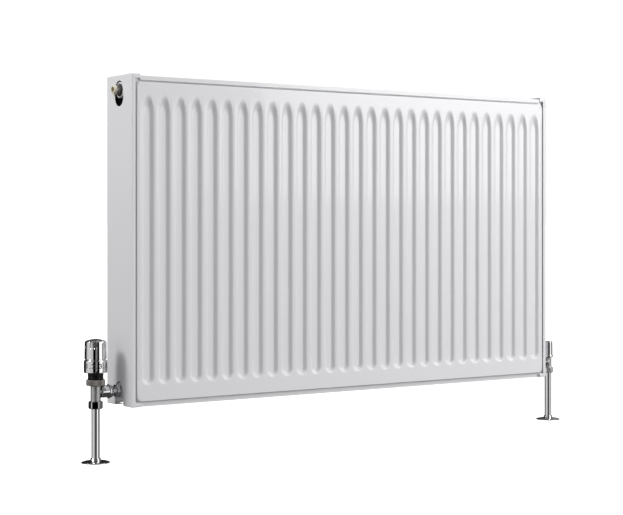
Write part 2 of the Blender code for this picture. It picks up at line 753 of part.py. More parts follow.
def build_trv_head(at):
    collar = [(15.0, 139.0), (16.0, 140.2), (16.0, 148.8), (15.4, 149.6), (12.5, 149.6), (12.5, 147.9),
              (14.4, 147.6), (14.4, 139.0)]
    turned("trv_collar_nut", millimetres(collar), NICKEL, at, segments=FINE)
    base = [(14.0, 146.9), (14.0, 147.4), (12.1, 147.6), (12.1, 150.0), (13.3, 150.0), (13.3, 154.2), (12.8, 155.4),
            (13.3, 156.6), (13.3, 160.4), (12.0, 161.2), (12.0, 199.0), (10.6, 199.0), (10.6, 152.8), (4.8, 152.8),
            (4.8, 146.9)]
    head_base = turned("trv_head_base", millimetres(base), BLACK, at, segments=MEDIUM)
    boolean(head_base, pointer_arm(at), "UNION")
    knob = [(19.6, 162.2), (20.8, 162.2), (21.2, 163.0), (21.0, 184.0), (20.1, 185.4), (19.6, 217.0), (18.6, 219.4),
            (10.5, 221.0), (6.0, 222.3), (0, 222.7), (0, 217.0), (12.5, 217.0), (12.5, 171.0), (19.0, 169.0)]
    turned("trv_head_knob", millimetres(knob), CHROME, at, segments=FINE)


def build_trv():
    at = (X_TRV, Y_MID, 0)
    build_trv_body()
    build_trv_insides(at)
    build_trv_head(at)
    build_pipe("left", X_TRV, TRV_PIPE_TOP)


# ---------------------------------------------------------------- lockshield valve, right
X_LOCKSHIELD = END + LOCKSHIELD_REACH
LOCKSHIELD_PIPE_TOP = 0.1137


def build_lockshield():
    x = X_LOCKSHIELD
    at = (x, Y_MID, 0)
    outer = [(0, 106.8), (8.5, 106.8), (8.5, 115.2), (7.7, 115.8), (7.7, 135.2), (7.2, 136.0), (0, 136.0)]
    hollow = [(0, 105), (7.8, 105), (7.8, 114.0), (6.0, 114.0), (6.0, 118), (3.8, 118.4), (3.8, 120.2),
              (6.0, 120.4), (6.0, 132), (4.4, 132), (4.4, 137), (0, 137)]
    valve_body("lockshield_body", x, outer, hollow, 4.8)
    build_compression("lockshield", x, 102.9 * MM, (19.8, 10.8), 11.9)
    build_union("lockshield", x, -1, LOCKSHIELD_REACH)
    flats, square = (14, 7.9), (4.4, 2.8)
    gland = [(4.1, 133.0), (4.1, 136.3), (flats, 136.3), (flats, 143.4), (6.6, 144.4), (3.1, 144.4), (3.1, 133.0)]
    turned("lockshield_gland_nut", millimetres(gland), BRASS, at, segments=COARSE)
    disc = [(2.0, 121.6), (5.2, 121.6), (5.2, 125.2), (2.0, 125.2)]
    turned("lockshield_disc", millimetres(disc), RUBBER, at, segments=COARSE)
    spindle = [(0, 122.6), (1.7, 122.6), (1.7, 127.4), (2.8, 128.2), (2.8, 150.0), (square, 150.6),
               (square, 158.0), (0, 158.0)]
    turned("lockshield_spindle", millimetres(spindle), BRASS, at, segments=COARSE)
    cap = [(10.5, 140.8), (10.8, 141.4), (10.8, 143.6), (10.0, 146.4), (9.8, 169.2), (9.0, 171.0), (0, 171.4),
           (0, 162.0), (3.6, 162.0), (3.6, 147.4), (8.7, 146.6), (8.7, 140.8)]
    turned("lockshield_cap", millimetres(cap), CHROME, at, segments=MEDIUM)
    build_pipe("right", x, LOCKSHIELD_PIPE_TOP)


# ---------------------------------------------------------------- the whole radiator
build_panels()
build_convectors()
build_tees()
build_side_cover("side_cover_left", LEFT)
build_side_cover("side_cover_right", RIGHT)
build_grille()
build_grille_clips()
build_hanging()
build_vent()
build_blanking_plug()
build_trv()
build_lockshield()
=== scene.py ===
"""Looks of the panel radiator: fine meshes, materials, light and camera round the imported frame."""

import json
import math

import bmesh
import bpy
from mathutils import Matrix, Vector


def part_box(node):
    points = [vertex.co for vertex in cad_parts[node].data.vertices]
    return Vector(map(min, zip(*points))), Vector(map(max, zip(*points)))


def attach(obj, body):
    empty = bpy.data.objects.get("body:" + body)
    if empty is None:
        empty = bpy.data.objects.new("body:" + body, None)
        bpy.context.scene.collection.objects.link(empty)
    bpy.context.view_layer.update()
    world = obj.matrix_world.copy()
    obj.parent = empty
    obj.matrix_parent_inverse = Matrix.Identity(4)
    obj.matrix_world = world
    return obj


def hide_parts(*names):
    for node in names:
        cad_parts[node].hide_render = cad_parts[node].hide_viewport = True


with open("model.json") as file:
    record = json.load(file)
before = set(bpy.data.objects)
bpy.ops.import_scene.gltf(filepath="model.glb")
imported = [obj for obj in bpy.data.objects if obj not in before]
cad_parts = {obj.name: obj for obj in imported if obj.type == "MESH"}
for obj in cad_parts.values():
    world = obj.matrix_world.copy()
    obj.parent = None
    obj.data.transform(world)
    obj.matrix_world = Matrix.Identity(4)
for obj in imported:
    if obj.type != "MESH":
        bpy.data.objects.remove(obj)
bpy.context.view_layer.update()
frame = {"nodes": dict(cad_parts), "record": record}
MM = 0.001                  # profiles and sheet sizes below are in millimetres


# ---------------------------------------------------------------- places, from the frame
def centre(node):
    low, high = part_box(node)
    return (Vector(low) + Vector(high)) / 2


COVER_LOW, COVER_HIGH = (Vector(p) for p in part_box("side_cover_left"))
END = -COVER_LOW.x
Y_FRONT, Y_BACK = COVER_LOW.y, COVER_HIGH.y
Z_BOTTOM, Z_TOP = COVER_LOW.z, COVER_HIGH.z
Y_MID = (Y_FRONT + Y_BACK) / 2
LEFT_AXIS = Vector((centre("left_floor_plate").x, Y_MID, 0))
RIGHT_AXIS = Vector((centre("right_floor_plate").x, Y_MID, 0))
Z_BRANCH = centre("trv_union_nut").z
Z_VENT = centre("vent_plug").z
UP = Vector((0, 0, 1))
X_LEFT, X_RIGHT = Vector((-1, 0, 0)), Vector((1, 0, 0))


# ---------------------------------------------------------------- materials
def principled(name, colour, roughness, metallic=0.0, coat=0.0, coat_roughness=0.05):
    made = bpy.data.materials.new(name)
    made.use_nodes = True
    shader = made.node_tree.nodes["Principled BSDF"]
    shader.inputs["Base Color"].default_value = (*colour, 1)
    shader.inputs["Roughness"].default_value = roughness
    shader.inputs["Metallic"].default_value = metallic
    shader.inputs["Coat Weight"].default_value = coat
    shader.inputs["Coat Roughness"].default_value = coat_roughness
    return made


def uneven(made, scale, low, high):
    """Roughness that varies a little over the surface."""
    nodes, links = made.node_tree.nodes, made.node_tree.links
    place = nodes.new("ShaderNodeTexCoord")
    noise = nodes.new("ShaderNodeTexNoise")
    noise.inputs["Scale"].default_value = scale
    noise.inputs["Detail"].default_value = 3
    spread = nodes.new("ShaderNodeMapRange")
    spread.inputs["To Min"].default_value = low
    spread.inputs["To Max"].default_value = high
    links.new(place.outputs["Object"], noise.inputs["Vector"])
    links.new(noise.outputs["Fac"], spread.inputs["Value"])
    links.new(spread.outputs["Result"], nodes["Principled BSDF"].inputs["Roughness"])
    return made


def bumpy(made, scale, strength, distance=0.0002):
    """Fine grain in the surface."""
    nodes, links = made.node_tree.nodes, made.node_tree.links
    place = nodes.new("ShaderNodeTexCoord")
    noise = nodes.new("ShaderNodeTexNoise")
    noise.inputs["Scale"].default_value = scale
    bump = nodes.new("ShaderNodeBump")
    bump.inputs["Strength"].default_value = strength
    bump.inputs["Distance"].default_value = distance
    links.new(place.outputs["Object"], noise.inputs["Vector"])
    links.new(noise.outputs["Fac"], bump.inputs["Height"])
    links.new(bump.outputs["Normal"], nodes["Principled BSDF"].inputs["Normal"])
    return made


ENAMEL = uneven(principled("enamel_white", (0.86, 0.86, 0.88), 0.30, coat=0.35), 6, 0.26, 0.34)
CHROME = uneven(principled("chrome_polished", (0.76, 0.76, 0.77), 0.05, 1.0), 40, 0.03, 0.07)
NICKEL = uneven(bumpy(principled("nickel_satin", (0.30, 0.28, 0.26), 0.42, 1.0), 900, 0.25),
                60, 0.36, 0.48)
ZINC = uneven(bumpy(principled("zinc_plated", (0.55, 0.56, 0.57), 0.4, 1.0), 120, 0.2), 30, 0.32, 0.5)
STEEL = uneven(principled("steel_bright", (0.60, 0.60, 0.61), 0.25, 1.0), 50, 0.2, 0.32)
BRASS = uneven(principled("brass_turned", (0.72, 0.53, 0.24), 0.3, 1.0), 50, 0.24, 0.36)
CAST = uneven(bumpy(principled("chrome_cast", (0.50, 0.50, 0.50), 0.45, 1.0), 500, 0.3), 60, 0.38, 0.5)
BLACK = uneven(principled("plastic_black", (0.004, 0.004, 0.005), 0.35), 60, 0.4, 0.5)
BLACK.node_tree.nodes["Principled BSDF"].inputs["Specular IOR Level"].default_value = 0.25
INK = uneven(principled("print_black", (0.01, 0.01, 0.012), 0.5), 60, 0.45, 0.55)
IVORY = uneven(principled("plastic_ivory", (0.86, 0.82, 0.68), 0.4), 60, 0.34, 0.46)
RUBBER = uneven(principled("rubber_black", (0.02, 0.02, 0.02), 0.7), 60, 0.64, 0.76)
# Painted shade: a near-black colour on the inside of the radiator that stands in for the shade there,
# not a real primer coat
INSIDE_SHADE_PAINT = uneven(principled("painted_shade_inside", (0.035, 0.035, 0.038), 0.6), 30, 0.55, 0.7)
FINISHES = {
    "white_enamel": ENAMEL, "polished_chrome": CHROME, "satin_nickel": NICKEL, "galvanised_steel": ZINC,
    "stainless_steel": STEEL, "brass": BRASS, "black_plastic": BLACK, "ivory_plastic": IVORY,
    "black_rubber": RUBBER,
}
SLOT_OF = {part["node"]: part["material_slot"] for part in frame["record"]["subparts"]}
# pieces inside the radiator that get the painted shade
PAINTED_SHADE_NODES = ("front_convector", "rear_convector")
LIT_BELOW, SHADED_ABOVE = 0.16, 0.30     # heights between which the inside's painted shade fades: painted light below, painted shade above
# painted light: the pale colour low down inside, where light comes in through the slots
LIT_INSIDE_COLOUR = (0.80, 0.80, 0.82)


def fade_upward(made, low, high, colour):
    """Painted light: a pale colour at and below the height low that fades into the material's own
    colour, the painted shade, at high.
    """
    nodes, links = made.node_tree.nodes, made.node_tree.links
    shader = nodes["Principled BSDF"]
    place, parts = nodes.new("ShaderNodeTexCoord"), nodes.new("ShaderNodeSeparateXYZ")
    spread, mix = nodes.new("ShaderNodeMapRange"), nodes.new("ShaderNodeMix")
    spread.inputs["From Min"].default_value = low
    spread.inputs["From Max"].default_value = high
    mix.data_type = "RGBA"
    mix.inputs[6].default_value = (*colour, 1)
    mix.inputs[7].default_value = shader.inputs["Base Color"].default_value
    links.new(place.outputs["Object"], parts.inputs[0])
    links.new(parts.outputs["Z"], spread.inputs["Value"])
    links.new(spread.outputs["Result"], mix.inputs["Factor"])
    links.new(mix.outputs[2], shader.inputs["Base Color"])


# painted light and shade inside: pale low down where light comes in, dark higher up
fade_upward(INSIDE_SHADE_PAINT, LIT_BELOW, SHADED_ABOVE, LIT_INSIDE_COLOUR)
# the convectors inside the radiator get the painted shade instead of the white enamel
for node_name, node in frame["nodes"].items():
    for holder in node.material_slots:
        holder.material = INSIDE_SHADE_PAINT if node_name in PAINTED_SHADE_NODES else FINISHES[SLOT_OF[node_name]]


# ---------------------------------------------------------------- mesh helpers
def new_object(name, mesh, finish, smooth_angle=28):
    made = bpy.data.objects.new(name, mesh)
    bpy.context.collection.objects.link(made)
    if finish:
        mesh.materials.append(finish)
    if smooth_angle:
        mesh.shade_smooth()
        mesh.set_sharp_from_angle(angle=math.radians(smooth_angle))
    return made


def mesh_of(bm, name):
    bmesh.ops.recalc_face_normals(bm, faces=bm.faces)
    mesh = bpy.data.meshes.new(name)
    bm.to_mesh(mesh)
    bm.free()
    return mesh


def settle(made, smooth_angle=28):
    """Applies the modifiers to the mesh."""
    shape = made.evaluated_get(bpy.context.evaluated_depsgraph_get())
    mesh = bpy.data.meshes.new_from_object(shape)
    made.modifiers.clear()
    made.data = mesh
    mesh.shade_smooth()
    mesh.set_sharp_from_angle(angle=math.radians(smooth_angle))
    return made


def combine(target, tool, operation):
    """Boolean with tool, which is removed."""
    change = target.modifiers.new("cut", "BOOLEAN")
    change.object = tool
    change.operation = operation
    change.solver = "EXACT"
    settle(target)
    bpy.data.objects.remove(tool)
    return target


def even_normals(made):
    """Flat faces shade flat beside their rounded edges."""
    change = made.modifiers.new("even", "WEIGHTED_NORMAL")
    change.keep_sharp = True
    change.weight = 80
    return made


def soft_edges(made, width, segments=2, angle=40):
    """Rounds the edges that are sharper than angle."""
    weld = made.modifiers.new("weld", "WELD")
    weld.merge_threshold = 0.00001
    change = made.modifiers.new("edges", "BEVEL")
    change.width = width
    change.segments = segments
    change.limit_method = "ANGLE"
    change.angle_limit = math.radians(angle)
    change.use_clamp_overlap = True
    change.harden_normals = False
    return made


def takes_place(made, body, slot, *nodes):
    """Puts a piece on its body, and in place of the nodes it stands for."""
    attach(made, body)
    if nodes:
        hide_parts(*nodes)
    return made


# ---------------------------------------------------------------- turned pieces
def ring_radius(radius, angle):
    """A number, or a hexagon as (across flats, corner radius)."""
    if isinstance(radius, tuple):
        across, corner = radius
        from_flat = (angle + math.pi / 6) % (math.pi / 3) - math.pi / 6
        return min(across / 2 / math.cos(from_flat), corner)
    return radius


def hexagon(across, corner, low, high, reach=1.3):
    """Rings of a hexagonal nut with turned chamfers."""
    half = across / 2
    rise = [(0.10, 0.0), (0.45, 0.22), (0.80, 0.60), (1.0, 1.0)]
    lower = [((across, half + (corner - half) * f), low + reach * h) for f, h in rise]
    upper = [((across, half + (corner - half) * f), high - reach * h) for f, h in reversed(rise)]
    return lower + upper


def softened(profile, radius, steps=3):
    """Rounds a profile's corners. Points on the axis and hexagon rings stay."""
    out = []
    count = len(profile)
    for i, point in enumerate(profile):
        before, after = profile[i - 1], profile[(i + 1) % count]
        plain = not any(isinstance(p[0], tuple) for p in (before, point, after))
        on_axis = point[0] == 0
        if not plain or on_axis or radius == 0:
            out.append(point)
            continue
        p, a, b = Vector(point), Vector(before) - Vector(point), Vector(after) - Vector(point)
        if a.length < 1e-6 or b.length < 1e-6 or a.angle(b) > math.radians(172):
            out.append(point)
            continue
        cut = min(radius, 0.45 * a.length, 0.45 * b.length)
        start, stop = p + a.normalized() * cut, p + b.normalized() * cut
        for k in range(steps + 1):
            t = k / steps
            q = start * (1 - t) ** 2 + p * 2 * t * (1 - t) + stop * t ** 2
            out.append((q.x, q.y))
    return out


def turned(name, profile, finish, at, along=UP, segments=96, edge=0.35, shape=None):
    """Turns a closed profile of (radius, height) in millimetres about its axis."""
    profile = softened(profile, edge)
    bm = bmesh.new()
    rings = []
    for radius, height in profile:
        if radius == 0:
            rings.append([bm.verts.new((0, 0, height * MM))])
            continue
        ring = []
        for i in range(segments):
            angle = 2 * math.pi * i / segments
            r = ring_radius(radius, angle)
            if shape:
                r += shape(angle, r, height)
            place = (r * MM * math.cos(angle), r * MM * math.sin(angle), height * MM)
            ring.append(bm.verts.new(place))
        rings.append(ring)
    pairs = list(zip(rings, rings[1:]))
    if profile[0][0] != 0:
        pairs.append((rings[-1], rings[0]))
    for low, high in pairs:
        for i in range(segments):
            j = (i + 1) % segments
            corners = [low[i % len(low)], low[j % len(low)], high[j % len(high)], high[i % len(high)]]
            unique = list(dict.fromkeys(corners))
            if len(unique) > 2:
                bm.faces.new(unique)
    turn = UP.rotation_difference(Vector(along)).to_matrix().to_4x4()
    bm.transform(Matrix.Translation(at) @ turn)
    return new_object(name, mesh_of(bm, name), finish)


def rod(radius, low, high):
    return [(0, low), (radius, low), (radius, high), (0, high)]


def turned_part(node, profile, at, along=UP, body="radiator", **how):
    slot = SLOT_OF[node]
    made = turned(node + "_fine", profile, FINISHES[slot], at, along, **how)
    even_normals(made)
    return takes_place(made, body, slot, node)


# ---------------------------------------------------------------- pressed sheets
SHEET = 1.2                                     # thickness
PRESS = 5.5                                     # depth of the flutes and of the border step
PITCH = 1000 / 30
FLUTES = 29
FLUTE_OPEN, FLUTE_FLOOR = 12.6, 5.6             # half widths at the mouth and at the floor
FLUTE_END, FLUTE_FADE = 13.0, 38.0              # length of a flute's lower and upper end
FLUTE_TOP, FLUTE_BOTTOM = 36.0, 39.0            # from the sheet's top and underside
CREST_DROP = 0.42                               # how far the crests between flutes are rounded down
CREST_HALF = PITCH / 2 - FLUTE_OPEN
SEAM_X, SEAM_TOP, SEAM_BOTTOM = 9.0, 12.5, 8.0  # widths of the border
SLOPE = 2.6                                     # width of the border's step
CORNER = 9.0
EDGE_LOW, EDGE_HIGH = 1.3, 4.7                  # the sheet's own edges, inside the covers' ends
LENGTH, HEIGHT = 2 * END / MM, (Z_TOP - Z_BOTTOM) / MM


def step(low, high, value):
    """Smooth rise from 0 at low to 1 at high."""
    t = min(1, max(0, (value - low) / (high - low)))
    return t * t * (3 - 2 * t)


def press_depth(x, z):
    """Depth in millimetres behind the crests, x from the middle and z from the underside."""
    inner_x = LENGTH / 2 - SEAM_X - CORNER
    middle = (SEAM_BOTTOM + HEIGHT - SEAM_TOP) / 2
    inner_z = (HEIGHT - SEAM_TOP - SEAM_BOTTOM) / 2 - CORNER
    dx, dz = abs(x) - inner_x, abs(z - middle) - inner_z
    outside = math.hypot(max(dx, 0), max(dz, 0)) + min(max(dx, dz), 0) - CORNER
    face = step(0, SLOPE, -outside)
    nearest = min(FLUTES // 2, max(-(FLUTES // 2), round(x / PITCH)))
    across = abs(x - nearest * PITCH) / FLUTE_OPEN
    from_end = min((z - FLUTE_BOTTOM) / FLUTE_END, (HEIGHT - FLUTE_TOP - z) / FLUTE_FADE)
    along = 1 - min(1, from_end)
    flute = 1 - step(FLUTE_FLOOR / FLUTE_OPEN, 1, math.hypot(across, along))
    crest = 0
    if abs(x) < (FLUTES / 2 + 0.2) * PITCH:
        off = abs(abs(x - nearest * PITCH) - PITCH / 2)
        crest = CREST_DROP * min(1, (off / CREST_HALF) ** 2) * step(-0.2, 1, from_end)
    inside = flute * PRESS + (1 - flute) * crest
    return PRESS * (1 - face) + face * inside


def sheet_lines(fine):
    """Where the sheet's grid lines run, closer together at the curves."""
    if fine:
        half = [14.4, 12.8, 11.8, 11.0, 10.2, 9.4, 8.6, 7.8, 7.0, 6.2, 5.4, 2.7]
        border = [2.5, 6, 8.7, 9.1, 9.5, 9.9, 10.3, 10.7, 11.1, 11.5, 12, 14, 18]
        end = [-0.2, -0.1, 0, 0.08, 0.16, 0.24, 0.32, 0.4, 0.48, 0.56, 0.64, 0.72, 0.8, 0.9, 1, 1.15]
    else:
        half = [12.8, 11.0, 9.4, 7.8, 6.2]
        border = [2.5, 8.8, 9.8, 10.8, 12]
        end = [-0.1, 0.05, 0.2, 0.4, 0.6, 0.8, 1, 1.15]
    offsets = [-h for h in half] + [0] + half[::-1]
    xs = [-LENGTH / 2 + b for b in border]
    for i in range(FLUTES):
        centre_x = (i - FLUTES // 2) * PITCH
        if i:
            xs.append(centre_x - PITCH / 2)
        xs += [centre_x + o for o in offsets]
    xs += [LENGTH / 2 - b for b in reversed(border)]
    shift_low, shift_high = SEAM_BOTTOM - SEAM_X, SEAM_TOP - SEAM_X
    low = [EDGE_LOW] + [b + shift_low for b in border[1:]] + [26]
    high = [EDGE_HIGH] + [b + shift_high for b in border[1:]] + [26]
    zs = low + [FLUTE_BOTTOM + e * FLUTE_END for e in end]
    zs += [HEIGHT * f for f in (0.2, 0.35, 0.5, 0.65, 0.8)]
    zs += [HEIGHT - FLUTE_TOP - e * FLUTE_FADE for e in reversed(end)]
    zs += [HEIGHT - h for h in reversed(high)]
    return xs, zs


def pressed_sheet(node, y_face, inward, fine):
    """A fluted sheet, two skins and an edge. inward is +1 or -1 along Y."""
    xs, zs = sheet_lines(fine)
    depths = [[press_depth(x, z) for z in zs] for x in xs]
    verts, faces = [], []
    nz = len(zs)
    between_covers = LENGTH / 2 - COVER_RETURN - 1
    for skin in (0, SHEET):
        for x, column in zip(xs, depths):
            for z, depth in zip(zs, column):
                if z == EDGE_LOW and abs(x) < between_covers:
                    z = 0           # the lower flange comes down level with the covers
                verts.append((x * MM, y_face + inward * (depth + skin) * MM, Z_BOTTOM + z * MM))
    count = len(xs) * nz
    for i in range(len(xs) - 1):
        for j in range(nz - 1):
            a, b = i * nz + j, (i + 1) * nz + j
            c, d = b + 1, a + 1
            faces.append((a, b, c, d))
            faces.append((d + count, c + count, b + count, a + count))
    rim = [i * nz for i in range(len(xs))]
    rim += [(len(xs) - 1) * nz + j for j in range(1, nz)]
    rim += [i * nz + nz - 1 for i in range(len(xs) - 2, -1, -1)]
    rim += [j for j in range(nz - 2, 0, -1)]
    for a, b in zip(rim, rim[1:] + rim[:1]):
        faces.append((b, a, a + count, b + count))
    mesh = bpy.data.meshes.new(node + "_fine")
    mesh.from_pydata(verts, [], faces)
    if inward < 0:
        mesh.flip_normals()
    # the inner sheets get the painted shade of the inside, the outer ones white enamel
    made = new_object(node + "_fine", mesh, ENAMEL if fine else INSIDE_SHADE_PAINT, 50)
    return takes_place(made, "radiator", "white_enamel", node)


def build_sheets():
    sheets = (("front_panel_outer_sheet", 1, True), ("front_panel_inner_sheet", -1, False),
              ("rear_panel_inner_sheet", 1, False), ("rear_panel_outer_sheet", -1, True))
    for node, inward, fine in sheets:
        low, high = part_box(node)
        pressed_sheet(node, low[1] if inward > 0 else high[1], inward, fine)


# ---------------------------------------------------------------- side covers
COVER = 1.0                             # thickness
COVER_LIP = 8.0                         # width of the lips on the front and the back
COVER_RETURN = 18.0                     # width of the folds at the top and the underside
HOLE_HALF = 16.5
HOLE_TOP, HOLE_BOTTOM = 10.0, 57.0      # from the top
SLOT_TOP = 43.5                         # from the underside
BEYOND = 6.0                            # how far a cutting tool reaches past what it cuts
CUT_PAST = 0.01
MITRE_DEPTH, MITRE_WIDTH = 0.7, 0.45


def block(name, low, high, radius=0.0, segments=4, keep_end=None):
    """A box with rounded edges; keep_end is the x of an end that stays sharp."""
    bm = bmesh.new()
    size, middle = Vector(high) - Vector(low), (Vector(high) + Vector(low)) / 2
    bmesh.ops.create_cube(bm, size=1, matrix=Matrix.Translation(middle) @ Matrix.Diagonal((*size, 1)))
    if radius:
        edges = [e for e in bm.edges
                 if keep_end is None or any(abs(v.co.x - keep_end) > 1e-6 for v in e.verts)]
        bmesh.ops.bevel(bm, geom=edges, offset=radius, segments=segments, affect="EDGES", profile=0.5)
    return new_object(name, mesh_of(bm, name), None)


def oblong(name, x, low, high, open_end):
    """Cutting tool with a round top, and a round or an open bottom."""
    outline = []
    steps = 24
    for i in range(steps + 1):
        angle = math.pi * i / steps
        outline.append((HOLE_HALF * math.cos(angle), high - HOLE_HALF + HOLE_HALF * math.sin(angle)))
    if open_end:
        outline += [(-HOLE_HALF, low), (HOLE_HALF, low)]
    else:
        for i in range(steps + 1):
            angle = math.pi + math.pi * i / steps
            outline.append((HOLE_HALF * math.cos(angle), low + HOLE_HALF + HOLE_HALF * math.sin(angle)))
    bm = bmesh.new()
    near, far = ([bm.verts.new((at, Y_MID + y * MM, Z_BOTTOM + z * MM)) for y, z in outline]
                 for at in x)
    bm.faces.new(near)
    bm.faces.new(far)
    for i in range(len(outline)):
        j = (i + 1) % len(outline)
        bm.faces.new((near[i], near[j], far[j], far[i]))
    return new_object(name, mesh_of(bm, name), None)


def mitre_line(corner, lean):
    """Thin blade for the joint across a lip's corner."""
    bm = bmesh.new()
    size = (3 * COVER_LIP * MM, MITRE_DEPTH * MM, MITRE_WIDTH * MM, 1)
    bmesh.ops.create_cube(bm, size=1, matrix=Matrix.Diagonal(size))
    bm.transform(Matrix.Translation(corner) @ Matrix.Rotation(lean * math.pi / 4, 4, "Y"))
    return new_object("mitre", mesh_of(bm, "mitre"), None)


def build_cover(node, body, side):
    """A folded side cover. Depths are measured from its outer face."""
    def at(depth):
        return side * (END - depth * MM)

    def span(a, b):
        return (min(at(a), at(b)), max(at(a), at(b)))

    x = span(0, COVER_RETURN)
    low, high = (x[0], Y_FRONT, Z_BOTTOM), (x[1], Y_BACK, Z_TOP)
    cover = block(node + "_fine", low, high, 2.0 * MM, 4, at(COVER_RETURN))
    t = COVER * MM
    x = span(COVER, COVER_RETURN + BEYOND)
    low, high = (x[0], Y_FRONT + t, Z_BOTTOM + t), (x[1], Y_BACK - t, Z_TOP - t)
    combine(cover, block("hollow", low, high, 1.0 * MM, 3), "DIFFERENCE")
    x = span(COVER_LIP, COVER_RETURN + BEYOND)
    lip = COVER_LIP * MM
    low, high = (x[0], Y_FRONT - CUT_PAST, Z_BOTTOM + lip), (x[1], Y_BACK + CUT_PAST, Z_TOP - lip)
    combine(cover, block("lips", low, high), "DIFFERENCE")
    x = span(-BEYOND, COVER_RETURN + BEYOND)
    combine(cover, oblong("hole", x, HEIGHT - HOLE_BOTTOM, HEIGHT - HOLE_TOP, False), "DIFFERENCE")
    combine(cover, oblong("slot", x, -BEYOND, SLOT_TOP, True), "DIFFERENCE")
    for y in (Y_FRONT, Y_BACK):
        for z, way in ((Z_TOP, -1), (Z_BOTTOM, 1)):
            combine(cover, mitre_line((at(0), y, z), side * way), "DIFFERENCE")
    cover.data.materials.clear()
    cover.data.materials.append(ENAMEL)
    for polygon in cover.data.polygons:
        polygon.material_index = 0
    soft_edges(cover, 0.3 * MM, 2, 50)
    even_normals(cover)
    return takes_place(cover, body, "white_enamel", node)


# ---------------------------------------------------------------- valves
PIPE_RADIUS, PIPE_BORE = 7.5, 6.8
GRIP_GROUPS = 5
GRIP_STEP = 11.0            # degrees from groove to groove
GRIP_HALF = 2.0             # degrees from a groove's middle to its edge
GRIP_DEPTH = 1.7
GRIP_LOW, GRIP_RUN_OUT = 207.0, 2.0
GRIP_START = 20.0
SKIRT_RADIUS = 17           # what is further out than this on the knob takes the grooves
KNURLS = 60
KNURL_DEPTH = 0.16
KNURL_FROM = 15.2
POINTER = math.radians(-109)
DIAL_TURN = math.radians(18)
DIAL_STEP = 36
DIAL_RADIUS = 21.15
FIGURE_HEIGHT, FIGURE_SIZE = 174.6, 12.0
MARK_HEIGHT = 171.4


def branch_body(node, profile, at, toward, inside):
    """Valve body with a side branch, hollow from below."""
    body = turned(node + "_fine", profile, CHROME, at, segments=96)
    centre_at = at + UP * Z_BRANCH
    combine(body, turned("branch", rod(7.0, 0, 22.2), CHROME, centre_at, toward, 48, 0), "UNION")
    combine(body, turned("bore", inside, CHROME, at, segments=48, edge=0), "DIFFERENCE")
    combine(body, turned("way", rod(4.8, 1, 23), CHROME, centre_at, toward, 24, 0), "DIFFERENCE")
    for holder in body.material_slots:
        holder.material = CAST
    even_normals(body)
    return takes_place(body, "radiator", SLOT_OF[node], node)


def compression_nut(prefix, at, across, corner, height):
    half = across / 2
    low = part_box(f"{prefix}_compression_nut")[0][2] / MM
    rings = hexagon(across, corner, low + 0.3, low + height - 0.3)
    profile = [(half - 0.6, low)] + rings
    profile += [(half - 0.6, low + height), (8.9, low + height), (8.9, low + 2.2),
                (7.9, low + 1.4), (7.9, low)]
    return turned_part(f"{prefix}_compression_nut", profile, at)


def union(prefix, at, toward):
    """The union nut and the tail that goes into the radiator."""
    centre_at = at + UP * Z_BRANCH
    nut = [(9.9, 9.3)] + hexagon(21, 11.6, 9.6, 24.2)
    nut += [(10.4, 24.4), (12.4, 24.5), (12.8, 24.9), (12.8, 26.5), (12.0, 27.2), (6.6, 27.2),
            (6.6, 24.9), (7.5, 24.9), (7.5, 9.3)]
    turned_part(f"{prefix}_union_nut", nut, centre_at, toward)
    low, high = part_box(f"{prefix}_tail")
    reach = max(abs(low[0] - at.x), abs(high[0] - at.x)) / MM
    face = reach - 11
    end = face - 0.3
    tail = [(7.1, 22.5), (7.1, 24.6), (6.2, 24.6), (6.2, 27.6), (11.4, 27.6), (11.9, 28.3),
            (11.5, 29.6), (10.2, 32.0), (8.4, 34.6), (7.6, 36.0), (7.6, end - 10.4), (10.4, end - 9.6)]
    tail += hexagon(22, 12.5, end - 9.2, end - 1.2, 1.2)
    tail += [(11.0, end), (9.7, end), (9.7, face + 11), (4.8, face + 11), (4.8, 22.5)]
    turned_part(f"{prefix}_tail", tail, centre_at, toward)


def pipe_and_plate(word, at):
    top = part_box(f"{word}_pipe")[1][2] / MM
    pipe = [(PIPE_RADIUS, 0), (PIPE_RADIUS, top), (PIPE_BORE, top), (PIPE_BORE, 0)]
    turned_part(f"{word}_pipe", pipe, at)
    plate = [(26, 0), (26, 0.5), (25.2, 1.3), (22.5, 2.3), (17, 3.1), (12.2, 3.7), (10.0, 4.3),
             (9.4, 5.2), (9.4, 7.4), (8.9, 8.2), (7.8, 8.2), (7.8, 2.0), (24.5, 0.6), (24.8, 0)]
    turned_part(f"{word}_floor_plate", plate, at, edge=0.25, segments=120)


def grip(angle, radius, height):
    """Groups of four short upright grooves under the knob's top edge."""
    if radius < SKIRT_RADIUS or height < GRIP_LOW:
        return 0
    period = 360 / GRIP_GROUPS
    here = (math.degrees(angle) + GRIP_START) % period - period / 2
    best = min(abs(here - k * GRIP_STEP) for k in (-1.5, -0.5, 0.5, 1.5))
    depth = GRIP_DEPTH * (1 - step(0.45, 1.0, best / GRIP_HALF))
    return -depth * step(GRIP_LOW, GRIP_LOW + GRIP_RUN_OUT, height)


def knurl(angle, radius, height):
    """Fine ribs on the outside of the collar nut, the same at every height."""
    return KNURL_DEPTH * math.cos(KNURLS * angle) if radius > KNURL_FROM else 0


